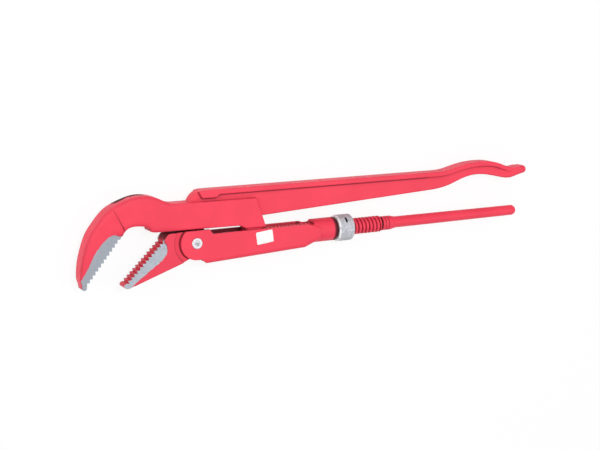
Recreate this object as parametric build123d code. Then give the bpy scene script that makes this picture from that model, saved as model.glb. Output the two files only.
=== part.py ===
"""Corner pipe wrench, 45 degree pattern, lying flat: X along the handles, Y across them, Z its thickness.

The long upper leg ends in a toothed hook. A threaded handle rod is pinned to a tongue under the leg.
A bent-sheet sleeve slides on that rod, pushed by the adjusting nut, and carries the lower jaw on a rivet.
Outlines are drawn from a point on the rod's axis just below the jaw rivet, and the finished set is moved
so that it rests on Z = 0.
"""
import os
from math import atan2, cos, degrees, hypot, radians, sin

from build123d import *

# Handle rod and its thread
thread_diameter = 14.0
collar_diameter = 12.2
collar_length = 10.0
rod_diameter = 9.8
rod_tip_diameter = 9.1
rod_end_x = 314.0
thread_start_x = 66.0
thread_end_x = 174.5
rod_lean = 0.9
thread_lead = 1.0
collar_taper = 4.0
eye_thickness = 6.0
eye_radius = 7.2
eye_neck_width = 12.4

# Sleeve, bent from one sheet and rolled into a tube behind
sheet = 2.7
bore_clearance = 0.3
ear_radius = 13.8
ear_top = 11.5
ear_step_x = 11.0
step_run = 2.6
cheek_top = 7.6
cheek_front_x = 8.1
cheek_front_bottom = -16.7
notch_run = 5.4
cheek_rear_x = 97.5
cheek_rear_bottom = -12.3
cheek_end_x = 112.0
cheek_end_top = 3.0
cheek_end_bottom = -6.5
slot_end_x = 107.0
tube_start_x = 100.0
tube_end_x = 127.5
neck_diameter = 17.0
neck_length = 1.9
bend_radius = 4.0
floor_setback = 1.0

# Adjusting nut
nut_diameter = 22.6
nut_length = 14.6
nut_edge = 1.2
bar_hole_count = 3
bar_hole_width = 2.2
bar_hole_length = 5.6
bar_hole_depth = 2.6
bar_hole_turn = 46.0
rim_notch_count = 6
rim_notch_diameter = 2.4
rim_notch_turn = 8.0
nut_gap = 0.1
thread_clearance = 0.1

# Jaw rivet and hinge pin
rivet_point = (-0.6, 1.2)
rivet_diameter = 9.0
rivet_rise = 0.5
rivet_crown = 0.45
pin_diameter = 7.0
pin_x = 52.0
pin_clearance = 0.05
side_clearance = 0.3
swing_clearance = 1.3

# Upper leg
leg_thickness = 16.0
web_thickness = 9.5
rim_thickness = 14.0
rim_height = 4.2
leg_bottom = 12.4
boss_top = 34.4
handle_top = 43.6
handle_top_end = 45.4
handle_straight_end_x = 230.0
foot_bottom = 9.7
foot_front_x = 38.5
foot_slope = 5.0
foot_end_x = 62.0
handle_root_x = 58.8
handle_root_y = 18.9
handle_waist_y = 29.5
waist_lead = 9.0
edge_round = 1.0
rim_round = 0.8
bump_start_x = 6.0
bump_lean = 4.0
bump_end_x = 18.0
bump_drop = 2.4
bump_run = 2.5
rim_end_slant = 20.0
crease_step = 0.8
grip_end_length = 22.0
grip_end_round = 3.5
grip_ramp = 16.0
tongue_radius = 7.4
tongue_front_x = 45.2
tongue_end_x = 59.0

# Jaws and their teeth
hook_tooth_top = (-63.9, 8.8)
hook_tooth_tip = (-92.4, -27.4)
hook_tooth_pitch = 3.8
hook_land = 10.0
hook_grind_reach = 15.0
jaw_tooth_top = (-27.7, 5.7)
jaw_tooth_tip = (-61.7, -28.7)
jaw_tooth_pitch = 3.5
jaw_land = 11.8
jaw_grind_reach = 9.6
tooth_depth = 1.9
tooth_rake = 0.3
gullet_share = 0.92
jaw_step_radius = 18.8
jaw_thickness = 16.0
tail_radius = 10.2

# Aids to the modelling: how far joined shapes overlap, and the least share of X in the heading of an edge
# that is taken to run along the wrench
overlap = 1.0
along_x = 0.8

# Values that follow from the sizes above
sleeve_bore = thread_diameter + 2 * bore_clearance
sleeve_width = sleeve_bore + 2 * sheet
sleeve_end_x = tube_end_x + neck_length
tongue_thickness = sleeve_bore - 2 * side_clearance
eye_slot = eye_thickness + 2 * side_clearance
nut_start_x = sleeve_end_x + nut_gap
lean = radians(rod_lean)
pin_point = (pin_x * cos(lean), pin_x * sin(lean))

# A cutter that has no size of its own reaches this far past its piece
beyond = rod_end_x


def plate(edges, thickness):
    """A closed outline given thickness, half to each side of the middle plane."""
    return extrude(make_face(edges), amount=thickness / 2, both=True)


def slab(points, thickness):
    """A straight-sided plate through the corner points."""
    return plate([Polyline(*points, close=True)], thickness)


def disc(center, radius, thickness):
    """A round plate, its axis along Z."""
    return Pos(center[0], center[1], 0) * Cylinder(radius, thickness)


def along(start, end, distance, offset=0.0):
    """The point at a distance from start towards end, then moved left of that line by offset."""
    length = hypot(end[0] - start[0], end[1] - start[1])
    ux = (end[0] - start[0]) / length
    uy = (end[1] - start[1]) / length
    return (start[0] + ux * distance - uy * offset, start[1] + uy * distance + ux * offset)


def tooth_gullets(top, tip, side, pitch, thickness):
    """The saw-shaped gaps between raked teeth, from the top of the tooth line to its tip."""
    length = hypot(tip[0] - top[0], tip[1] - top[1])
    count = int(length / pitch)
    first = (length - count * pitch) / 2
    gullets = []
    for index in range(count):
        start = first + index * pitch
        corners = [
            along(top, tip, start, -side),
            along(top, tip, start, 0.0),
            along(top, tip, start + tooth_rake * pitch, side * tooth_depth),
            along(top, tip, start + gullet_share * pitch, 0.0),
            along(top, tip, start + gullet_share * pitch, -side),
        ]
        gullets.append(slab(corners, 2 * thickness))
    return gullets


def ground_bevels(top, tip, side, thickness, land, reach, zone):
    """Two cuts that narrow the toothed edge to its land, one on each face, inside the zone's outline."""
    slope = degrees(atan2((thickness - land) / 2, reach))
    heading = degrees(atan2(tip[1] - top[1], tip[0] - top[0])) + 90 * side
    room = extrude(make_face(zone), amount=thickness, both=True)
    bevels = []
    for face in (1, -1):
        above = Pos(0, 0, face * thickness) * Box(beyond, beyond, 2 * thickness)
        place = Pos(top[0], top[1], face * land / 2) * Rot(0, 0, heading) * Rot(0, -face * slope, 0)
        bevels.append(room & (place * above))
    return bevels


def rounded_faces(shape, radius, least_x=0.0):
    """The shape with the edges of its two flat faces rounded, or only those that run along X."""
    edges = shape.faces().filter_by(Axis.Z).edges()
    return fillet([edge for edge in edges if abs((edge % 0.5).X) >= least_x], radius)


def leaned(shape):
    """The shape leaned slightly towards the upper leg, turned about the start of the rod's axis."""
    return Rot(0, 0, rod_lean) * shape


def make_upper_leg():
    """Forged leg: thick toothed hook and boss, thin handle with a rim on top, forked tongue below."""
    hook_back = (-97.4, -16.5)
    hook_crown = (-47.0, 42.2)
    neck = (-17.0, boss_top)
    boss_rise = (-5.5, boss_top)
    nose = (-96.1, -28.2)
    arch_foot = (-32.2, leg_bottom)
    arch_head = (-62.2, 12.4)
    top_start = (9.0, handle_top)
    straight_top = (handle_straight_end_x, handle_top_end)
    straight_bottom = (handle_straight_end_x - waist_lead, handle_waist_y)
    wave_x = handle_straight_end_x
    end_top = (wave_x + 88.2, handle_top_end + 0.5)
    end_bottom = (wave_x + 89.0, handle_top_end - 6.6)
    end_arc = ThreePointArc(end_bottom, (wave_x + 91.9, handle_top_end - 2.9), end_top)
    nose_arc = ThreePointArc(nose, (-94.3, -30.0), hook_tooth_tip)
    handle_bottom = Line((handle_root_x, handle_root_y), straight_bottom)
    handle_ridge = Line(straight_top, top_start)
    neck_line = Line(boss_rise, neck)
    throat = Line(hook_tooth_top, arch_head)
    crown_heading = (-1, -0.04)
    top_wave = Spline(
        straight_top, (wave_x + 21.0, handle_top_end + 3.9), (wave_x + 41.0, handle_top_end + 6.5),
        (wave_x + 61.3, handle_top_end + 4.2), (wave_x + 79.5, handle_top_end - 0.8), end_top,
        tangents=[-(handle_ridge % 0), -(end_arc % 1)],
    )
    bottom_wave = Spline(
        straight_bottom, (wave_x + 11.5, handle_waist_y + 3.5), (wave_x + 26.0, handle_waist_y + 8.7),
        (wave_x + 42.0, handle_waist_y + 10.9), (wave_x + 60.0, handle_waist_y + 8.1),
        (wave_x + 74.0, handle_waist_y + 5.8), end_bottom,
        tangents=[handle_bottom % 1, end_arc % 0],
    )
    outline = [
        Spline(neck, (-31.0, 39.1), hook_crown, tangents=[neck_line % 1, crown_heading]),
        Spline(
            hook_crown, (-60.9, 38.9), (-73.7, 32.5), (-83.0, 22.7), (-89.2, 13.8), (-93.6, 2.5),
            hook_back, (-97.1, -23.5), nose,
            tangents=[crown_heading, nose_arc % 0],
        ),
        nose_arc,
        Line(hook_tooth_tip, hook_tooth_top),
        throat,
        Spline(
            arch_head, (-58.7, 16.6), (-48.4, 18.4), (-39.4, 15.6), arch_foot,
            tangents=[throat % 1, (1, 0)],
        ),
        Line(arch_foot, (foot_front_x, leg_bottom)),
        Line((foot_front_x, leg_bottom), (foot_front_x + foot_slope, foot_bottom)),
        Line((foot_front_x + foot_slope, foot_bottom), (foot_end_x, foot_bottom)),
        Line((foot_end_x, foot_bottom), (handle_root_x, handle_root_y)),
        handle_bottom,
        bottom_wave,
        end_arc,
        top_wave,
        handle_ridge,
        Spline(top_start, (-0.8, 40.6), boss_rise, tangents=[handle_ridge % 1, (-0.7, -1)]),
        neck_line,
    ]
    blank = make_face(outline)
    web = rounded_faces(extrude(blank, amount=web_thickness / 2, both=True), edge_round)
    full = extrude(blank, amount=leg_thickness / 2, both=True)
    boss_slant = (foot_end_x - handle_root_x) / (handle_root_y - foot_bottom)
    boss_edge_x = foot_end_x - (boss_top - foot_bottom) * boss_slant
    head_zone = slab(
        [
            (-beyond, -beyond), (foot_end_x, -beyond), (foot_end_x, foot_bottom),
            (boss_edge_x, boss_top), boss_rise, (boss_rise[0], beyond), (-beyond, beyond),
        ],
        leg_thickness,
    )
    head = rounded_faces(full & head_zone, edge_round)
    rim_bottom = handle_top - rim_height
    rim_zone = slab(
        [
            (bump_start_x, rim_bottom - bump_drop), (bump_end_x, rim_bottom - bump_drop),
            (bump_end_x + bump_run, rim_bottom), (handle_straight_end_x, handle_top_end - rim_height),
            (handle_straight_end_x, beyond), (bump_start_x - bump_lean, beyond),
            (bump_start_x - bump_lean, handle_top),
        ],
        rim_thickness,
    )
    wave_drop = Pos(0, -rim_height, 0) * top_wave
    wave_end_top = (end_top[0] - rim_end_slant, end_top[1] + rim_end_slant)
    wave_start_top = (handle_straight_end_x, wave_end_top[1])
    wave_zone = plate(
        [
            wave_drop,
            Line(wave_drop @ 1, wave_end_top),
            Line(wave_end_top, wave_start_top),
            Line(wave_start_top, wave_drop @ 0),
        ],
        rim_thickness,
    )
    rim_space = extrude(blank, amount=rim_thickness / 2, both=True)
    rim = rounded_faces(rim_space & rim_zone, rim_round, along_x)
    rim += rounded_faces(rim_space & wave_zone, rim_round, along_x)
    grip_start_x = end_top[0] - grip_end_length / 2
    ramp_start_x = grip_start_x - grip_ramp - overlap
    ramp_slope = degrees(atan2((rim_thickness - web_thickness) / 2, grip_ramp))
    grip_end = rim_space & (Pos(ramp_start_x + beyond / 2, 0, 0) * Box(beyond, beyond, rim_thickness))
    grip_edges = grip_end.faces().filter_by(Axis.Z).edges()
    grip_edges = [edge for edge in grip_edges if edge.center().X > ramp_start_x + edge_round]
    grip_end = fillet(grip_edges, grip_end_round)
    for face in (1, -1):
        shaving = Pos(-beyond / 2, 0, face * beyond / 2) * Box(beyond, beyond, beyond)
        grip_end -= Pos(grip_start_x, 0, face * rim_thickness / 2) * Rot(0, -face * ramp_slope, 0) * shaving
    leg = web + head + rim + grip_end
    crease_top = (-70.6, 34.6)
    crease_foot = (-60.9, 16.4)
    crease_length = hypot(crease_top[0] - crease_foot[0], crease_top[1] - crease_foot[1])
    crease_heading = degrees(atan2(crease_top[1] - crease_foot[1], crease_top[0] - crease_foot[0]))
    crease_slope = degrees(atan2(crease_step, crease_length))
    for face in (1, -1):
        shaving = Pos(0, beyond / 2, face * leg_thickness) * Box(beyond, beyond, 2 * leg_thickness)
        place = Pos(crease_top[0], crease_top[1], face * leg_thickness / 2) * Rot(0, 0, crease_heading)
        leg -= place * Rot(0, -face * crease_slope, 0) * shaving

    tongue = slab(
        [
            (tongue_front_x, foot_bottom + 2 * overlap), (tongue_end_x, foot_bottom + 2 * overlap),
            (pin_point[0] + tongue_radius, pin_point[1]), (pin_point[0] - tongue_radius, pin_point[1]),
        ],
        tongue_thickness,
    )
    tongue += disc(pin_point, tongue_radius, tongue_thickness)
    leg += tongue
    eye_room = eye_radius + side_clearance
    rear_opening = Box(2 * tongue_radius, 2 * eye_room, eye_slot)
    lower_opening = Box(2 * eye_room, 2 * tongue_radius, eye_slot)
    leg -= disc(pin_point, eye_room, eye_slot)
    leg -= Pos(pin_point[0] + tongue_radius, pin_point[1], 0) * rear_opening
    leg -= Pos(pin_point[0], pin_point[1] - tongue_radius, 0) * lower_opening
    leg -= disc(pin_point, pin_diameter / 2 + pin_clearance, 2 * leg_thickness)
    zone_line = Spline(
        (-58.0, 10.0), (-64.6, 12.2), (-70.2, 13.0), (-75.0, 11.0), (-81.1, 5.2), (-85.4, -0.2),
        (-89.1, -7.5), (-92.2, -13.0), (-95.3, -18.4), (-101.0, -28.0),
    )
    zone = [zone_line, Polyline(zone_line @ 1, (-90.0, -45.0), (-50.0, -10.0), zone_line @ 0)]
    for bevel in ground_bevels(
        hook_tooth_top, hook_tooth_tip, -1, leg_thickness, hook_land, hook_grind_reach, zone
    ):
        leg -= bevel
    for gullet in tooth_gullets(hook_tooth_top, hook_tooth_tip, -1, hook_tooth_pitch, leg_thickness):
        leg -= gullet
    return leg


def make_lower_jaw():
    """Forged jaw: a thick toothed head stepped down to a round tail that turns between the ears."""
    back = (-12.0, -14.4)
    chin = (-54.0, -29.7)
    crown = (-17.8, 10.5)
    brow = (-24.2, 10.0)
    tail_bottom = (rivet_point[0], rivet_point[1] - tail_radius)
    tail_rear = (rivet_point[0] + tail_radius, rivet_point[1])
    tail_top = (rivet_point[0], rivet_point[1] + tail_radius)
    outline = [
        Line(jaw_tooth_top, jaw_tooth_tip),
        Spline(jaw_tooth_tip, (-60.3, -31.3), (-57.3, -31.3), chin, tangents=[(-0.2, -1), (1, 0.364)]),
        Line(chin, back),
        Line(back, tail_bottom),
        ThreePointArc(tail_bottom, tail_rear, tail_top),
        Line(tail_top, crown),
        Spline(crown, brow, jaw_tooth_top, tangents=[(-1, 0), (-0.5, -1)]),
    ]
    blank = make_face(outline)
    head = extrude(blank, amount=jaw_thickness / 2, both=True)
    head -= disc(rivet_point, jaw_step_radius, 2 * jaw_thickness)
    tail = extrude(blank, amount=tongue_thickness / 2, both=True)
    jaw = head + tail
    zone_line = Spline(
        (-34.0, 10.0), (-28.6, 5.6), (-25.7, 1.4), (-25.4, -2.9), (-26.6, -7.0), (-30.4, -11.0),
        (-36.0, -15.4), (-41.6, -19.6), (-47.2, -24.0), (-52.4, -28.5), (-58.0, -34.0),
    )
    zone = [zone_line, Polyline(zone_line @ 1, (-78.0, -35.0), (-48.0, 8.0), zone_line @ 0)]
    for bevel in ground_bevels(
        jaw_tooth_top, jaw_tooth_tip, 1, jaw_thickness, jaw_land, jaw_grind_reach, zone
    ):
        jaw -= bevel
    for gullet in tooth_gullets(jaw_tooth_top, jaw_tooth_tip, 1, jaw_tooth_pitch, jaw_thickness):
        jaw -= gullet
    jaw -= disc(rivet_point, rivet_diameter / 2 + pin_clearance, 2 * jaw_thickness)
    return jaw


def make_guide_sleeve():
    """One bent sheet: two riveted ears, an open channel and a rolled tube that guides the thread."""
    tube_radius = sleeve_width / 2
    ear_bottom = rivet_point[1] - ear_radius
    body = slab(
        [
            (ear_step_x, ear_top), (ear_step_x + step_run, cheek_top), (tube_start_x, cheek_top),
            (cheek_end_x, cheek_end_top), (cheek_end_x, cheek_end_bottom), (cheek_rear_x, cheek_rear_bottom),
            (cheek_front_x, cheek_front_bottom), (cheek_front_x - notch_run, ear_bottom + edge_round / 2),
            (rivet_point[0], ear_bottom + edge_round / 2), (rivet_point[0], ear_top),
        ],
        sleeve_width,
    )
    keel = [edge for edge in body.edges() if abs((edge % 0.5).X) > along_x]
    keel = [edge for edge in keel if edge.center().Y < cheek_end_bottom and edge.center().X > cheek_front_x]
    body = fillet(keel, bend_radius)
    ear = disc(rivet_point, ear_radius, sleeve_width)
    ear &= Pos(0, ear_top - beyond / 2, 0) * Box(beyond, beyond, beyond)
    body += ear
    tube = Cylinder(tube_radius, tube_end_x - tube_start_x)
    body += Pos((tube_start_x + tube_end_x) / 2, 0, 0) * Rot(0, 90, 0) * tube
    neck = Cylinder(neck_diameter / 2, sleeve_end_x - tube_start_x)
    body += Pos((tube_start_x + sleeve_end_x) / 2, 0, 0) * Rot(0, 90, 0) * neck
    floor_front = (cheek_front_x + floor_setback, cheek_front_bottom + sheet)
    channel = slab(
        [
            (-2 * ear_radius, 2 * ear_top), (cheek_rear_x, 2 * ear_top),
            (cheek_rear_x, cheek_rear_bottom + sheet), floor_front,
            (floor_front[0], -2 * ear_radius), (-2 * ear_radius, -2 * ear_radius),
        ],
        sleeve_bore,
    )
    body -= channel
    bore_length = sleeve_end_x - cheek_rear_x + 2 * overlap
    bore = Cylinder(sleeve_bore / 2, bore_length)
    body -= Pos(sleeve_end_x + overlap - bore_length / 2, 0, 0) * Rot(0, 90, 0) * bore
    slot_length = slot_end_x - cheek_rear_x + 2 * overlap
    slot = Box(slot_length, 2 * sleeve_width, sleeve_bore)
    body -= Pos(slot_end_x - slot_length / 2, sleeve_width, 0) * slot
    return leaned(body) - disc(rivet_point, rivet_diameter / 2 + pin_clearance, 2 * sleeve_width)


def make_jaw_rivet():
    """Turned steel rivet, its two ends slightly crowned above the ears."""
    rivet = disc(rivet_point, rivet_diameter / 2, sleeve_width + 2 * rivet_rise)
    return fillet(rivet.edges().filter_by(GeomType.CIRCLE), rivet_crown)


def make_hinge_pin():
    """Plain steel pin through the forked tongue and the rod's eye, trapped between the cheeks."""
    return disc(pin_point, pin_diameter / 2, tongue_thickness)


def make_handle_rod():
    """Threaded handle rod, turned about its own axis, with a flat eye forged on its front end."""
    collar_end = thread_end_x + collar_length
    tip_radius = rod_tip_diameter / 2
    neck_x = pin_x + tongue_radius + swing_clearance
    half = [
        (neck_x, 0), (neck_x, thread_diameter / 2 - thread_lead), (thread_start_x, thread_diameter / 2),
        (thread_end_x, thread_diameter / 2), (thread_end_x, collar_diameter / 2),
        (collar_end, collar_diameter / 2), (collar_end + collar_taper, rod_diameter / 2),
        (rod_end_x - tip_radius, tip_radius),
    ]
    profile = [
        Polyline(*half),
        RadiusArc(half[-1], (rod_end_x, 0), tip_radius),
        Line((rod_end_x, 0), half[0]),
    ]
    rod = revolve(make_face(profile), axis=Axis.X)
    eye = disc((pin_x, 0), eye_radius, eye_thickness)
    shank = Box(neck_x - pin_x + 2 * overlap, eye_neck_width, eye_thickness)
    eye += Pos((pin_x + neck_x) / 2 + overlap, 0, 0) * shank
    rod += eye
    rod -= disc((pin_x, 0), pin_diameter / 2 + pin_clearance, 2 * thread_diameter)
    return leaned(rod)


def make_adjusting_nut():
    """Round adjusting nut with broken edges, blind holes for a bar, and notches round its front rim."""
    middle = nut_start_x + nut_length / 2
    nut = Pos(middle, 0, 0) * Rot(0, 90, 0) * Cylinder(nut_diameter / 2, nut_length)
    nut = chamfer(nut.edges().filter_by(GeomType.CIRCLE), nut_edge)
    bore = Cylinder(thread_diameter / 2 + thread_clearance, 2 * nut_length)
    nut -= Pos(middle, 0, 0) * Rot(0, 90, 0) * bore
    hole_outline = SlotOverall(bar_hole_length, bar_hole_width, rotation=90)
    bar_hole = Pos(middle, 0, nut_diameter / 2) * extrude(hole_outline, amount=bar_hole_depth, both=True)
    for index in range(bar_hole_count):
        nut -= Rot(360 / bar_hole_count * index - bar_hole_turn, 0, 0) * bar_hole
    rim_notch = Pos(nut_start_x, 0, nut_diameter / 2) * Cylinder(rim_notch_diameter / 2, 2 * nut_edge)
    for index in range(rim_notch_count):
        nut -= Rot(360 / rim_notch_count * index - rim_notch_turn, 0, 0) * rim_notch
    return leaned(nut)


pieces = {
    "upper_leg": make_upper_leg(),
    "lower_jaw": make_lower_jaw(),
    "guide_sleeve": make_guide_sleeve(),
    "jaw_rivet": make_jaw_rivet(),
    "hinge_pin": make_hinge_pin(),
    "handle_rod": make_handle_rod(),
    "adjusting_nut": make_adjusting_nut(),
}

# The finished wrench rests on Z = 0, centred over the origin
boxes = [shape.bounding_box() for shape in pieces.values()]
low = [min(tuple(box.min)[axis] for box in boxes) for axis in range(3)]
high = [max(tuple(box.max)[axis] for box in boxes) for axis in range(3)]
rest = Pos(-(low[0] + high[0]) / 2, -(low[1] + high[1]) / 2, -low[2])

os.makedirs("parts", exist_ok=True)
for name, shape in pieces.items():
    export_step(rest * shape, f"parts/{name}.step")

print("size", [top - bottom for bottom, top in zip(low, high)])
print("jaw rivet at", (rest * Pos(*rivet_point, 0)).position)
print("rod axis starts at", rest.position)
print("hinge pin at", (rest * Pos(*pin_point, 0)).position)
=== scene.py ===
"""Looks of the corner pipe wrench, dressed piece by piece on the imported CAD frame, in metres."""

from math import cos, pi, radians, sin

import bmesh
import bpy
import numpy as np
from mathutils import Matrix, Vector


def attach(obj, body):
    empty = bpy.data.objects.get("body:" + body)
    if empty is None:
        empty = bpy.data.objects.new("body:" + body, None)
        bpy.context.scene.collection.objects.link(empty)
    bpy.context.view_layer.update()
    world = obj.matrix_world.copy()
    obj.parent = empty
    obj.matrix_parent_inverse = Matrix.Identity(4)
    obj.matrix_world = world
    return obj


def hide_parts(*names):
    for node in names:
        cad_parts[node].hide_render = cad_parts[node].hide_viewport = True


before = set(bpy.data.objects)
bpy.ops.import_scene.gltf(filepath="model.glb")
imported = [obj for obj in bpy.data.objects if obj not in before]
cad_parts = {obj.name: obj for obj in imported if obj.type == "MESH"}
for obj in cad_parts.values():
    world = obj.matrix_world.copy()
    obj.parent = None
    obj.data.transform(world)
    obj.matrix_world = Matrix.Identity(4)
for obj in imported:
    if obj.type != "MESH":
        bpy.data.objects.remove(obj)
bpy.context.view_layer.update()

# Upper leg
# One steel forging with a toothed hook, a boss and a rimmed handle, painted with bright red enamel.
# Wheel cuts on both sides of the teeth leave a zone of bare grey steel with a curved paint line.
axis_start = Vector((-0.112209, -0.0102173, 0.0113))
enamel_red = (0.90, 0.056, 0.102, 1.0)
enamel_deep = (0.835, 0.050, 0.092, 1.0)
enamel_thin_highlight = (1.0, 0.20, 0.25, 1.0)
enamel_shadow = (0.25, 0.010, 0.028, 1.0)
enamel_shade_and_mark = (0.028, 0.005, 0.009, 1.0)
steel_grey = (0.355, 0.385, 0.435, 1.0)
black = (0.0, 0.0, 0.0, 1.0)


def add(tree, kind, inputs=(), **settings):
    """One shader node; inputs maps a socket's name or number to a constant or another socket."""
    made = tree.nodes.new("ShaderNode" + kind)
    for key, value in settings.items():
        setattr(made, key, value)
    for socket, value in dict(inputs).items():
        if isinstance(value, bpy.types.NodeSocket):
            tree.links.new(value, made.inputs[socket])
        else:
            made.inputs[socket].default_value = value
    return made


def number(tree, operation, first, second=0.0):
    """One arithmetic step on two numbers or sockets."""
    return add(tree, "Math", {0: first, 1: second}, operation=operation).outputs[0]


def times(tree, first, *others):
    """The product of several numbers or sockets."""
    for other in others:
        first = number(tree, "MULTIPLY", first, other)
    return first


def most(tree, first, *others):
    """The greatest of several numbers or sockets."""
    for other in others:
        first = number(tree, "MAXIMUM", first, other)
    return first


def vector(tree, operation, first, second=(0.0, 0.0, 0.0)):
    """One step on two vectors or sockets; a dot product or a length gives a number."""
    made = add(tree, "VectorMath", {0: first, 1: second}, operation=operation)
    return made.outputs["Value" if operation in ("DOT_PRODUCT", "LENGTH") else "Vector"]


def part(tree, value, letter):
    """One coordinate of a vector."""
    return add(tree, "SeparateXYZ", {0: value}).outputs[letter]


def normal(tree):
    """The direction that the surface faces."""
    return add(tree, "NewGeometry").outputs["Normal"]


def ramp(tree, value, low, high, out_low=0.0, out_high=1.0):
    """A value spread linearly from one range to another, and held at its ends."""
    inputs = {"Value": value, "From Min": low, "From Max": high, "To Min": out_low, "To Max": out_high}
    return add(tree, "MapRange", inputs).outputs[0]


def band(tree, value, low, high, fade):
    """1 between low and high, falling to 0 over the fade inside each end."""
    return times(tree, ramp(tree, value, low, low + fade), ramp(tree, value, high, high - fade))


def noise(tree, place, scale, detail=3.0):
    """Smooth random values from 0 to 1, with scale spots in a metre."""
    return add(tree, "TexNoise", {"Vector": place, "Scale": scale, "Detail": detail}).outputs["Fac"]


def blend(tree, share, first, second):
    """A colour from first to second as share goes from 0 to 1."""
    return add(tree, "Mix", {0: share, 6: first, 7: second}, data_type="RGBA").outputs[2]


def blank_material(name):
    """A material with no look yet, its node tree, and the place of each point on the object."""
    material = bpy.data.materials.new(name)
    material.use_nodes = True
    tree = material.node_tree
    tree.nodes.clear()
    place = add(tree, "TexCoord").outputs["Object"]
    return material, tree, place


def enamel_shader(tree, place, lump, shade_and_mark, edge_radius=0.0008, corner_shade=0.8):
    """Red enamel: light and deep patches, orange peel over soft lumps, thin paint with a painted highlight
    on edges, and painted shade in corners.

    The fourth argument is the share of painted shade and dark marks at each point, drawn dark and
    rougher; edge_radius is the rounding that the light sees on edges, and corner_shade how dark the
    painted shade gets in tight corners.
    """
    worn_radius = 0.0005
    corner_reach = 0.004
    lump_height = 0.0012
    peel_height = 0.0003
    gloss = 0.22
    shade_and_mark_rough = 0.30
    soft_edge = add(tree, "Bevel", {"Radius": edge_radius}, samples=8).outputs[0]
    worn_edge = add(tree, "Bevel", {"Radius": worn_radius}, samples=4).outputs[0]
    # On edges the paint is thinner and drawn lighter pink: thin paint and a painted highlight together.
    edge = ramp(tree, vector(tree, "DOT_PRODUCT", worn_edge, normal(tree)), 0.985, 0.86)
    patch = ramp(tree, noise(tree, place, 45.0), 0.35, 0.68)
    shade = blend(tree, patch, enamel_deep, enamel_red)
    thin = times(tree, edge, ramp(tree, noise(tree, place, 260.0), 0.35, 0.7, 0.05, 0.30))
    worn_highlit = blend(tree, thin, shade, enamel_thin_highlight)
    # Painted shade in tight corners, from ambient occlusion.
    open_share = add(tree, "AmbientOcclusion", {"Distance": corner_reach}, samples=8).outputs["AO"]
    hidden = times(tree, ramp(tree, open_share, 0.90, 0.40), corner_shade)
    shaded = blend(tree, hidden, worn_highlit, enamel_shadow)
    lumps = {"Strength": lump, "Distance": lump_height, "Height": noise(tree, place, 150.0, 4.0)}
    lumpy = add(tree, "Bump", {**lumps, "Normal": soft_edge}).outputs[0]
    peel = {"Strength": 0.10, "Distance": peel_height, "Height": noise(tree, place, 700.0, 2.0)}
    peeled = add(tree, "Bump", {**peel, "Normal": lumpy}).outputs[0]
    rough = ramp(tree, noise(tree, place, 90.0), 0.3, 0.7, 0.40, 0.52)
    # Painted shade and dark marks turn the paint dark and rougher.
    inputs = {
        "Base Color": blend(tree, shade_and_mark, shaded, enamel_shade_and_mark),
        "Roughness": number(tree, "ADD", rough, times(tree, shade_and_mark, shade_and_mark_rough)),
        "Normal": peeled,
        "Specular IOR Level": gloss,
    }
    return add(tree, "BsdfPrincipled", inputs).outputs[0]


def steel_shader(tree, place, tint, grain_scale, rough, metal=1.0):
    """Bare steel with fine grinding lines: noise stretched along the axis of the least grain_scale."""
    broken_edge = 0.0002
    grain_height = 0.0002
    rough_spread = 0.12
    drawn = add(tree, "Mapping", {"Vector": place, "Scale": grain_scale}).outputs[0]
    lines = noise(tree, drawn, 1.0)
    soft_edge = add(tree, "Bevel", {"Radius": broken_edge}, samples=4).outputs[0]
    grain = {"Strength": 0.25, "Distance": grain_height, "Height": lines, "Normal": soft_edge}
    inputs = {
        "Base Color": blend(tree, ramp(tree, lines, 0.3, 0.7, 0.15, 0.0), tint, black),
        "Metallic": metal,
        "Roughness": ramp(tree, noise(tree, place, 400.0), 0.3, 0.7, rough, rough + rough_spread),
        "Normal": add(tree, "Bump", grain).outputs[0],
    }
    return add(tree, "BsdfPrincipled", inputs).outputs[0]


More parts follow.
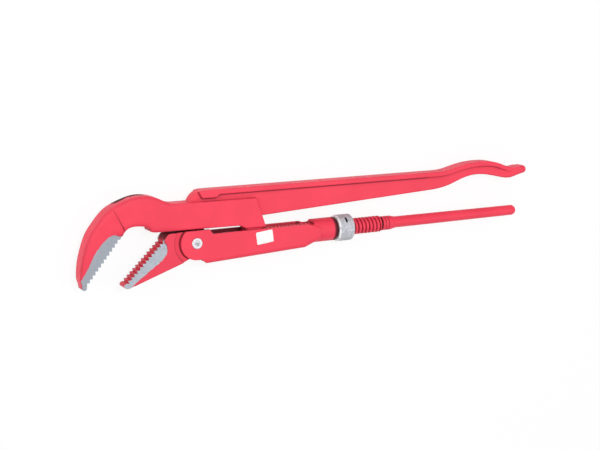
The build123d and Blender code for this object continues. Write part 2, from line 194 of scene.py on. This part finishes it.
def jaw_material(name, tooth_top, tooth_tip, side, edge_line, land, looks):
    """Enamel with a bare ground zone beside a tooth line.

    With t along the line from its top and n into the body, the zone is where n is below edge_line, a curve
    through pairs of t and n in millimetres. Points nearer the middle plane than land keep their paint.
    Behind the teeth only the flat faces are bare. looks gives the enamel's share of painted shade and
    dark marks, its edge radius and its corner shade.
    """
    t_span = 0.060
    n_span = 0.012
    lead = t_span / 12
    ragged_edge = 0.0003
    paint_fade = 0.0001
    land_fade = 0.0003
    tooth_reach = 0.006
    tooth_root = 0.0018
    enamel_lump = 0.15
    ground_rough = 0.52
    ground_metal = 0.35
    material, tree, place = blank_material(name)
    line = (Vector(tooth_tip) - Vector(tooth_top)).normalized()
    inward = Vector((-line.y, line.x)) * side
    corner = Vector(tooth_top) + axis_start.to_2d() - line * lead
    local = vector(tree, "SUBTRACT", place, (*corner, axis_start.z))
    t = vector(tree, "DOT_PRODUCT", local, (*line, 0))
    n = vector(tree, "DOT_PRODUCT", local, (*inward, 0))
    height = number(tree, "ABSOLUTE", part(tree, local, "Z"))
    curve = add(tree, "FloatCurve", {"Value": number(tree, "DIVIDE", t, t_span)})
    knots = curve.mapping.curves[0].points
    for _ in range(len(edge_line) - 2):
        knots.new(0.5, 0.5)
    for knot, (along, reach) in zip(knots, edge_line):
        knot.location = ((along / 1000 + lead) / t_span, reach / 1000 / n_span)
        knot.handle_type = "AUTO_CLAMPED"
    curve.mapping.update()
    limit = times(tree, curve.outputs[0], n_span)
    ragged = ramp(tree, noise(tree, place, 420.0), 0.3, 0.7, -ragged_edge, ragged_edge)
    inside = number(tree, "ADD", number(tree, "SUBTRACT", limit, n), ragged)
    flat_face = ramp(tree, number(tree, "ABSOLUTE", part(tree, normal(tree), "Z")), 0.55, 0.75)
    bare = times(
        tree,
        ramp(tree, inside, -paint_fade, paint_fade),
        ramp(tree, height, land, land + land_fade),
        ramp(tree, n, -tooth_reach, -tooth_reach + 0.002),
        most(tree, flat_face, ramp(tree, n, tooth_root + 0.0004, tooth_root)),
    )
    red = enamel_shader(tree, place, enamel_lump, *looks(tree, place))
    grain = tuple(2200.0 * abs(share) + 150.0 for share in (line.x, line.y, 0.2))
    steel = steel_shader(tree, place, steel_grey, grain, ground_rough, ground_metal)
    mixed = add(tree, "MixShader", {0: bare, 1: red, 2: steel}).outputs[0]
    add(tree, "OutputMaterial", {"Surface": mixed})
    return material


def paint(node, material):
    """Gives a CAD node one material in all of its slots."""
    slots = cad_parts[node].data.materials
    slots.clear()
    slots.append(material)


hook_top = (-0.0639, 0.0088)
hook_tip = (-0.0924, -0.0274)
hook_edge = (
    (-3.0, 0.0), (-1.5, 2.3), (0.6, 7.4), (5.1, 9.8), (13.5, 11.2), (20.4, 11.0), (28.4, 9.6), (34.6, 8.4),
    (40.0, 7.8), (55.0, 7.2),
)
hook_land = -0.001
crown_mark = (-0.067, -0.042)
crown_mark_jitter = 0.0025
crease_top = (-0.0706, 0.0346)
crease_foot = (-0.0609, 0.0164)
rim_foot = ((0.0055, 0.0366), (0.0185, 0.0366), (0.0212, 0.0390), (0.2180, 0.0408))
boss_top = 0.0352


def dark_line(tree, local, start, end, half_width):
    """A line drawn on the faces from start to end: 1 along it, fading to 0 at half_width to each side."""
    end_fade = 0.0004
    run = Vector(end) - Vector(start)
    length = run.length
    run.normalize()
    offset = vector(tree, "SUBTRACT", local, (*start, 0))
    along = vector(tree, "DOT_PRODUCT", offset, (*run, 0))
    across = vector(tree, "DOT_PRODUCT", offset, (-run.y, run.x, 0))
    beside = ramp(tree, number(tree, "ABSOLUTE", across), half_width, half_width * 0.3)
    return times(tree, beside, band(tree, along, 0.0, length, end_fade))


def leg_looks(tree, place):
    """Painted shade and a dark mark, edge radius and corner shade of the leg.

    A dark mark with a ragged edge lies on the upward faces of the far half of the hook's crown, and
    lines of painted shadow run along the hook's crease and the foot of the rim. Edges are rounder on
    the hook than on the handle, and the painted shade in corners is darkest under the rim.
    """
    local = vector(tree, "SUBTRACT", place, axis_start)
    x, y, z = add(tree, "SeparateXYZ", {0: local}).outputs
    # A dark mark with a ragged edge on the upward faces of the crown's far half.
    mark_jitter = ramp(tree, noise(tree, place, 230.0, 5.0), 0.3, 0.7, -crown_mark_jitter, crown_mark_jitter)
    leg_shade_and_mark = times(
        tree,
        ramp(tree, part(tree, normal(tree), "Y"), 0.70, 0.80),
        ramp(tree, number(tree, "ADD", z, mark_jitter), -0.0015, -0.0025),
        band(tree, number(tree, "ADD", x, mark_jitter), *crown_mark, 0.001),
        0.95,
    )
    # Painted shadow along the step at the hook's crease.
    crease = dark_line(tree, local, crease_top, crease_foot, 0.0007)
    crease = times(tree, crease, ramp(tree, y, crease_top[1], crease_foot[1], 0.1, 0.5))
    leg_shade_and_mark = most(tree, leg_shade_and_mark, crease)
    # Painted shadow along the foot of the rim.
    for start, end in zip(rim_foot, rim_foot[1:]):
        leg_shade_and_mark = most(tree, leg_shade_and_mark, times(tree, dark_line(tree, local, start, end, 0.0010), 0.5))
    edge_radius = ramp(tree, x, -0.025, -0.005, 0.0065, 0.0016)
    corner_shade = ramp(tree, y, boss_top, boss_top + 0.0014, 0.4, 1.0)
    return leg_shade_and_mark, edge_radius, corner_shade


leg_enamel = jaw_material("leg_enamel", hook_top, hook_tip, -1, hook_edge, hook_land, leg_looks)
paint("upper_leg", leg_enamel)

# Hinge pin
# Plain turned steel pin that joins the handle rod's eye to the fork under the leg.
# It is trapped between the sleeve's cheeks, which hide it.
pin_tint = (0.53, 0.54, 0.57, 1.0)
pin_grain = (1800.0, 1800.0, 200.0)
pin_material, pin_tree, pin_place = blank_material("pin_steel")
pin_look = steel_shader(pin_tree, pin_place, pin_tint, pin_grain, 0.34)
add(pin_tree, "OutputMaterial", {"Surface": pin_look})
paint("hinge_pin", pin_material)

# Handle rod
# Steel bar with a flat eye, a coarse trapezoid thread, a run-out groove and a ridged collar, all painted.
# It was threaded on a lathe, so its skin is one surface turned about the rod's leaned axis.
# It is pinned by its eye and takes the place of the CAD rod, which has no thread.
rod_lean = radians(0.9)
eye_centre = 0.0520
eye_radius = 0.0072
eye_half = 0.0030
eye_squareness = 0.2
neck_half = 0.0062
thread_from = 0.0607
chamfer_to = 0.0660
thread_to = 0.1722
thread_pitch = 0.0035
thread_root = 0.0053
thread_crest = 0.0070
root_share = 0.14
flank_share = 0.36
groove_from = 0.1724
groove_to = 0.1741
groove_radius = 0.0050
collar_from = 0.1745
collar_edge_radius = 0.0057
collar_radius = 0.0061
ridge_from = 0.1749
ridge_pitch = 0.0029
ridge_width = 0.0019
ridge_count = 2
ridge_groove_radius = 0.0056
ridge_slope = 0.0003
ridge_groove_width = 0.0004
collar_back = [(0.1838, 0.0060), (0.1848, 0.0056), (0.1885, 0.0049)]
bar_taper = [(0.2300, 0.0048), (0.2700, 0.00465)]
bar_to = 0.3090
tip_centre = 0.30945
tip_radius = 0.00455


def skin(name, points):
    """A mesh through a grid of points: rows run along the piece, columns close round it, poles weld."""
    rows, columns = points.shape[:2]
    first = np.arange(rows - 1)[:, None] * columns
    here = first + np.arange(columns)[None, :]
    beside = first + (np.arange(columns)[None, :] + 1) % columns
    quads = np.stack([here, beside, beside + columns, here + columns], -1)
    mesh = bpy.data.meshes.new(name)
    mesh.from_pydata(points.reshape(-1, 3).tolist(), [], quads.reshape(-1, 4).tolist())
    welded = bmesh.new()
    welded.from_mesh(mesh)
    bmesh.ops.remove_doubles(welded, verts=welded.verts, dist=1e-7)
    welded.to_mesh(mesh)
    welded.free()
    mesh.polygons.foreach_set("use_smooth", np.ones(len(mesh.polygons), dtype=bool))
    mesh.set_sharp_from_angle(angle=radians(38))
    piece = bpy.data.objects.new(name, mesh)
    bpy.context.collection.objects.link(piece)
    return piece


def on_axis(x, y, z):
    """Points given along, across and above the rod's axis, moved to that axis in the wrench."""
    x = np.broadcast_to(x, y.shape)
    return np.stack(
        [
            axis_start.x + x * cos(rod_lean) - y * sin(rod_lean),
            axis_start.y + x * sin(rod_lean) + y * cos(rod_lean),
            axis_start.z + z,
        ],
        -1,
    )


def rod_points(columns=96, steps=20):
    """Rod surface: superellipse sections of the eye, then circles whose radius follows the thread.

    At x along the axis and angle a, the thread's phase is x / pitch - a / (2 pi), and the radius goes
    from root to crest as a smooth step of how far that phase lies from a half turn. Behind the thread
    the radius runs straight between the corners of the groove, the collar and the tapered bar, and ends
    in a dome.
    """
    turn = np.linspace(0, 2 * pi, columns, endpoint=False)
    bow = np.linspace(0, pi / 2, 14)
    eye_x = eye_centre - eye_radius * np.cos(bow)
    eye_x = np.concatenate([eye_x, np.linspace(eye_centre, thread_from, 10)[1:]])
    eye_y = np.concatenate([eye_radius * np.sin(bow), np.linspace(eye_radius, neck_half, 10)[1:]])
    ring_y = np.sign(np.cos(turn)) * np.abs(np.cos(turn)) ** eye_squareness
    ring_z = np.sign(np.sin(turn)) * np.abs(np.sin(turn)) ** eye_squareness
    eye_z = np.minimum(eye_half, eye_y)
    eye = on_axis(eye_x[:, None], eye_y[:, None] * ring_y, eye_z[:, None] * ring_z)

    thread_x = np.arange(thread_from, thread_to, thread_pitch / steps)
    phase = np.mod(thread_x[:, None] / thread_pitch - turn[None, :] / (2 * pi), 1.0)
    rise = np.clip((np.abs(2 * phase - 1) - root_share) / flank_share, 0, 1)
    rise = rise * rise * (3 - 2 * rise)
    thread_r = thread_root + (thread_crest - thread_root) * rise
    lead = np.interp(thread_x, [thread_from, chamfer_to], [thread_root, thread_crest])
    thread_r = np.minimum(thread_r, lead[:, None])

    tail = [(groove_from, groove_radius), (groove_to, groove_radius), (collar_from, collar_edge_radius)]
    for ridge in range(ridge_count):
        start = ridge_from + ridge * ridge_pitch
        sunk = start + ridge_width + ridge_slope
        tail += [(start, collar_radius), (start + ridge_width, collar_radius)]
        tail += [(sunk, ridge_groove_radius), (sunk + ridge_groove_width, ridge_groove_radius)]
    tail += [(ridge_from + ridge_count * ridge_pitch, collar_radius)]
    tail += collar_back + bar_taper + [(bar_to, tip_radius)]
    tail = np.array(tail)
    dome = np.linspace(0, pi / 2, 12)
    tail_x = np.concatenate([tail[:, 0], tip_centre + tip_radius * np.sin(dome)])
    tail_r = np.concatenate([tail[:, 1], tip_radius * np.cos(dome)])
    round_x = np.concatenate([thread_x, tail_x])
    round_r = np.concatenate([thread_r, np.repeat(tail_r[:, None], columns, 1)])
    bar = on_axis(round_x[:, None], round_r * np.cos(turn), round_r * np.sin(turn))
    return np.concatenate([eye, bar])


def about_axis(tree, place):
    """How far along the rod's axis a point lies, and how far from it."""
    heading = (cos(rod_lean), sin(rod_lean), 0.0)
    offset = vector(tree, "SUBTRACT", place, axis_start)
    along = vector(tree, "DOT_PRODUCT", offset, heading)
    return along, vector(tree, "LENGTH", vector(tree, "CROSS_PRODUCT", offset, heading))


ridges_seen = (0.1760, 0.1812)
rod = skin("threaded_rod", rod_points())
rod_material, rod_tree, rod_place = blank_material("rod_enamel")
rod_x, rod_radius = about_axis(rod_tree, rod_place)
# Painted shade in the thread's grooves: faint along the thread, dark in the run-out groove.
rod_groove_shade = times(
    rod_tree,
    ramp(rod_tree, rod_radius, thread_root + 0.0009, thread_root + 0.0001),
    ramp(rod_tree, rod_x, thread_to - 0.0012, thread_to, 0.22, 0.85),
    ramp(rod_tree, rod_x, collar_from + 0.0002, collar_from),
    ramp(rod_tree, rod_x, thread_from, chamfer_to),
)
# Painted shade in the grooves between the collar's ridges.
collar_groove_shade = ramp(rod_tree, rod_radius, collar_radius - 0.0001, collar_radius - 0.0004, 0.0, 0.45)
collar_groove_shade = times(rod_tree, band(rod_tree, rod_x, *ridges_seen, 0.0002), collar_groove_shade)
rod_groove_shade = most(rod_tree, rod_groove_shade, collar_groove_shade)
rod_look = enamel_shader(rod_tree, rod_place, 0.06, rod_groove_shade, 0.0003, 0.5)
add(rod_tree, "OutputMaterial", {"Surface": rod_look})
rod.data.materials.append(rod_material)
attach(rod, "rod")
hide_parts("handle_rod")

# Guide sleeve
# Bent from one steel sheet, with two ears in front and a rolled tube behind, then painted.
# It slides on the rod's thread with the lower jaw riveted between its ears.
# Painted shade darkens the inside of its channel; a painted dark band at the tube's mouth stands for the
# shadowed gap beside the nut.
cheek_inside = 0.0073
channel_front = (0.0560, 0.0660)
channel_end = 0.1000
mouth_from = 0.1244
sleeve_material, sleeve_tree, sleeve_place = blank_material("sleeve_enamel")
sleeve_local = vector(sleeve_tree, "SUBTRACT", sleeve_place, axis_start)
sleeve_x = part(sleeve_tree, sleeve_local, "X")
sleeve_half = number(sleeve_tree, "ABSOLUTE", part(sleeve_tree, sleeve_local, "Z"))
# Painted shade on the channel's inner faces, strongest at its front and near its back end.
sleeve_channel_shade = times(
    sleeve_tree,
    ramp(sleeve_tree, sleeve_half, cheek_inside + 0.0005, cheek_inside),
    ramp(sleeve_tree, sleeve_x, channel_end, channel_end - 0.0015),
    ramp(sleeve_tree, part(sleeve_tree, normal(sleeve_tree), "Y"), -0.5, -0.3),
    most(
        sleeve_tree,
        ramp(sleeve_tree, sleeve_x, *channel_front, 0.80, 0.30),
        ramp(sleeve_tree, sleeve_x, channel_end - 0.0050, channel_end - 0.0035, 0.0, 0.85),
    ),
)
# A painted dark band at the tube's mouth, standing for the shadowed gap before the nut.
mouth_gap_shadow = ramp(sleeve_tree, sleeve_x, mouth_from, mouth_from + 0.0018, 0.0, 0.92)
sleeve_channel_shade = most(sleeve_tree, sleeve_channel_shade, mouth_gap_shadow)
sleeve_look = enamel_shader(sleeve_tree, sleeve_place, 0.08, sleeve_channel_shade)
add(sleeve_tree, "OutputMaterial", {"Surface": sleeve_look})
paint("guide_sleeve", sleeve_material)

# Label
# Small blank white vinyl sticker, cut with square corners.
# It is pressed on the sleeve's flat cheek, a little out of square, and travels with the sleeve.
label_half = (0.0075, 0.0052)
label_centre = (0.0595, 0.0016)
label_turn = radians(7.6)
label_thickness = 0.00012
label_grey = (0.86, 0.86, 0.85, 1.0)
label_white = (0.93, 0.93, 0.92, 1.0)
cheek_height = 0.0100


def label_points(columns=64, squareness=0.12):
    """Near-rectangle: rings of a superellipse, from the middle of its back to the middle of its front."""
    turn = np.linspace(0, 2 * pi, columns, endpoint=False)
    spread = np.array([0.0, 1.0, 1.0, 0.99, 0.5, 0.0])[:, None]
    lift = np.array([0.0, 0.0, 0.85, 1.0, 1.0, 1.0])[:, None] * label_thickness
    x = spread * label_half[0] * np.sign(np.cos(turn)) * np.abs(np.cos(turn)) ** squareness
    y = spread * label_half[1] * np.sign(np.sin(turn)) * np.abs(np.sin(turn)) ** squareness
    along = axis_start.x + label_centre[0] + x * cos(label_turn) - y * sin(label_turn)
    across = axis_start.y + label_centre[1] + x * sin(label_turn) + y * cos(label_turn)
    above = np.broadcast_to(axis_start.z + cheek_height + lift, along.shape)
    return np.stack([along, across, above], -1)


label = skin("blank_label", label_points())
label_material, label_tree, label_place = blank_material("label_vinyl")
label_mottle = ramp(label_tree, noise(label_tree, label_place, 300.0), 0.3, 0.7)
label_grain = {"Strength": 0.08, "Distance": 0.0001, "Height": noise(label_tree, label_place, 2500.0, 2.0)}
label_inputs = {
    "Base Color": blend(label_tree, label_mottle, label_grey, label_white),
    "Roughness": 0.38,
    "Normal": add(label_tree, "Bump", label_grain).outputs[0],
}
label_look = add(label_tree, "BsdfPrincipled", label_inputs).outputs[0]
add(label_tree, "OutputMaterial", {"Surface": label_look})
label.data.materials.append(label_material)
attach(label, "sleeve")

# Jaw rivet
# Bright steel rivet through the ears and the jaw's tail, its crowned heads left bare.
# The middle of each head is drawn darker, in spots.
rivet_offset = Vector((-0.0006, 0.0012, 0.0))
rivet_mark_rim = 0.0030
rivet_mark_core = 0.0016
rivet_bright = (0.58, 0.57, 0.59, 1.0)
rivet_dull = (0.20, 0.21, 0.24, 1.0)
rivet_grain = (900.0, 900.0, 900.0)


def from_rivet(tree, place):
    """How far a point lies from the rivet's axis."""
    arm = vector(tree, "SUBTRACT", place, axis_start + rivet_offset)
    return vector(tree, "LENGTH", vector(tree, "MULTIPLY", arm, (1, 1, 0)))


rivet_material, rivet_tree, rivet_place = blank_material("rivet_steel")
rivet_mark = ramp(rivet_tree, from_rivet(rivet_tree, rivet_place), rivet_mark_rim, rivet_mark_core)
rivet_spots = ramp(rivet_tree, noise(rivet_tree, rivet_place, 900.0), 0.35, 0.6)
rivet_mark = times(rivet_tree, rivet_mark, rivet_spots)
rivet_tint = blend(rivet_tree, rivet_mark, rivet_bright, rivet_dull)
rivet_look = steel_shader(rivet_tree, rivet_place, rivet_tint, rivet_grain, 0.38)
add(rivet_tree, "OutputMaterial", {"Surface": rivet_look})
paint("jaw_rivet", rivet_material)

# Adjusting nut
# Turned steel nut with dull zinc plating, screwed on the rod's thread behind the sleeve.
# Its front chamfer carries a painted white highlight, and painted shade darkens the blind holes for a
# tommy bar.
nut_dull = (0.42, 0.43, 0.475, 1.0)
nut_light = (0.63, 0.645, 0.69, 1.0)
nut_front_highlight = (0.97, 0.97, 0.97, 1.0)
nut_hole_dark = (0.038, 0.032, 0.036, 1.0)
nut_grain = (3000.0, 300.0, 300.0)
nut_holes_from = 0.1308
nut_holes_to = 0.1428
nut_skin = 0.0111
nut_material, nut_tree, nut_place = blank_material("nut_zinc")
nut_mottle = ramp(nut_tree, noise(nut_tree, nut_place, 520.0, 4.0), 0.35, 0.65)
nut_tint = blend(nut_tree, nut_mottle, nut_dull, nut_light)
nut_front = (-cos(rod_lean), -sin(rod_lean), 0.0)
nut_facing = vector(nut_tree, "DOT_PRODUCT", normal(nut_tree), nut_front)
# Painted highlight: faces turned to the front are drawn near white.
nut_tint = blend(nut_tree, ramp(nut_tree, nut_facing, 0.25, 0.55), nut_tint, nut_front_highlight)
nut_x, nut_reach = about_axis(nut_tree, nut_place)
# Painted shade inside the blind holes, below the nut's skin.
nut_hole = ramp(nut_tree, nut_reach, nut_skin, nut_skin - 0.0004, 0.0, 0.95)
nut_hole = times(nut_tree, band(nut_tree, nut_x, nut_holes_from, nut_holes_to, 0.0002), nut_hole)
nut_tint = blend(nut_tree, nut_hole, nut_tint, nut_hole_dark)
nut_look = steel_shader(nut_tree, nut_place, nut_tint, nut_grain, 0.45, 0.12)
add(nut_tree, "OutputMaterial", {"Surface": nut_look})
paint("adjusting_nut", nut_material)

# Lower jaw
# Forged jaw that turns on the rivet, painted over its teeth and then ground bare on both sides.
# Its round tail fits between the ears, with a step that follows the ears' rim.
jaw_top = (-0.0277, 0.0057)
jaw_tip = (-0.0617, -0.0287)
jaw_edge = (
    (0.0, 0.0), (0.7, 0.5), (1.7, 4.4), (4.6, 7.6), (8.4, 9.5), (13.9, 9.7), (21.0, 8.6), (27.9, 7.5),
    (41.8, 5.7), (55.0, 4.0),
)
jaw_land = 0.0056
jaw_edge_radius = 0.0010
jaw_corner_shade = 0.25
# The whole jaw is drawn a little darker.
jaw_darkening = 0.07
ear_rim = 0.0138
step_foot = 0.0185


def jaw_looks(tree, place):
    """Painted shade, edge radius and corner shade of the jaw.

    The whole jaw is drawn a little darker, with painted shadow on its top under the leg, beside the
    ears' rim and along the round step. Corners get only mild painted shade, so that the gullets between
    the teeth stay red.
    """
    x = part(tree, vector(tree, "SUBTRACT", place, axis_start), "X")
    # Painted shadow on the jaw's upward faces, under the leg.
    upward = ramp(tree, part(tree, normal(tree), "Y"), 0.3, 0.5)
    top = times(tree, upward, ramp(tree, x, -0.030, -0.027, 0.0, 0.85))
    # Painted shadow beside the ears' rim and along the round step.
    reach = from_rivet(tree, place)
    ear_gap = ramp(tree, reach, ear_rim + 0.0014, ear_rim + 0.0004, 0.0, 0.8)
    step_gap = number(tree, "ABSOLUTE", number(tree, "SUBTRACT", reach, step_foot))
    step_line = ramp(tree, step_gap, 0.0005, 0.0002, 0.0, 0.4)
    return most(tree, top, ear_gap, step_line, jaw_darkening), jaw_edge_radius, jaw_corner_shade


jaw_enamel = jaw_material("jaw_enamel", jaw_top, jaw_tip, 1, jaw_edge, jaw_land, jaw_looks)
paint("lower_jaw", jaw_enamel)

# Floor, backdrop and light
# Plain white studio floor; the camera and glossy surfaces see it nearly white, with a faint shadow.
# A high key light, a low fill beside the hook and a card that gives the handle its sheen.
white = (1.0, 1.0, 1.0, 1.0)
paper_white = (0.97, 0.97, 0.97, 1.0)
floor_half = 3.0
floor_height = -0.0004
floor_glow_share = 0.88
floor_signs = ((-1, -1), (1, -1), (1, 1), (-1, 1))
floor_corners = [(x * floor_half, y * floor_half, floor_height) for x, y in floor_signs]
floor_mesh = bpy.data.meshes.new("floor")
floor_mesh.from_pydata(floor_corners, [], [(0, 1, 2, 3)])
floor = bpy.data.objects.new("floor", floor_mesh)
bpy.context.collection.objects.link(floor)
floor_material, floor_tree, _ = blank_material("floor_white")
floor_paper = add(floor_tree, "BsdfDiffuse", {"Color": paper_white}).outputs[0]
floor_glow = add(floor_tree, "Emission", {"Color": white, "Strength": 1.0}).outputs[0]


def seen(tree):
    """1 for rays from the camera, from glossy surfaces and through clear ones, and 0 for other light."""
    rays = add(tree, "LightPath").outputs
    return most(tree, rays["Is Camera Ray"], rays["Is Glossy Ray"], rays["Is Transmission Ray"])


floor_share = times(floor_tree, seen(floor_tree), floor_glow_share)
floor_look = add(floor_tree, "MixShader", {0: floor_share, 1: floor_paper, 2: floor_glow}).outputs[0]
add(floor_tree, "OutputMaterial", {"Surface": floor_look})
floor.data.materials.append(floor_material)

world = bpy.data.worlds.new("studio")
bpy.context.scene.world = world
world.use_nodes = True
sky = world.node_tree
sky.nodes.clear()
sky_height = part(sky, add(sky, "TexCoord").outputs["Generated"], "Z")
sky_strength = most(sky, ramp(sky, sky_height, 0.0, 0.8, 0.20, 0.57), seen(sky))
sky_glow = add(sky, "Background", {"Color": white, "Strength": sky_strength}).outputs[0]
add(sky, "OutputWorld", {"Surface": sky_glow})


def soft_light(name, place, target, size, power):
    """A square area light at a place, facing a target."""
    data = bpy.data.lights.new(name, "AREA")
    data.size = size
    data.energy = power
    lamp = bpy.data.objects.new(name, data)
    lamp.location = place
    lamp.rotation_euler = (Vector(target) - Vector(place)).to_track_quat("-Z", "Y").to_euler()
    bpy.context.collection.objects.link(lamp)


soft_light("key", (-0.10, 0.34, 1.30), (0, 0, 0), 0.45, 8.2)
soft_light("fill", (-1.2, 0.25, 0.42), (-0.1, 0, 0), 0.6, 3.3)
soft_light("card", (0.88, -0.28, 1.3), (0.1, 0, 0), 0.6, 2.85)

# Camera
# Seen from above, turned 26 degrees towards the hook and tipped 10 degrees, as in the photograph.
# A long lens keeps the perspective slight.
camera_right = Vector((0.8988, 0.0, 0.4384))
camera_up = Vector((0.0761, 0.9848, -0.1560))
camera_back = Vector((-0.4317, 0.1736, 0.8851))
look_point = Vector((-0.015443, -0.002985, 0.01108))
camera_distance = 1.1816
camera_data = bpy.data.cameras.new("camera")
camera_data.sensor_width = 36.0
camera_data.lens = 84.0
camera_data.clip_start = 0.01
camera = bpy.data.objects.new("camera", camera_data)
turned = Matrix((camera_right, camera_up, camera_back)).transposed().to_4x4()
camera.matrix_world = Matrix.Translation(look_point + camera_distance * camera_back) @ turned
bpy.context.collection.objects.link(camera)
bpy.context.scene.camera = camera
bpy.context.scene.view_settings.view_transform = "Standard"
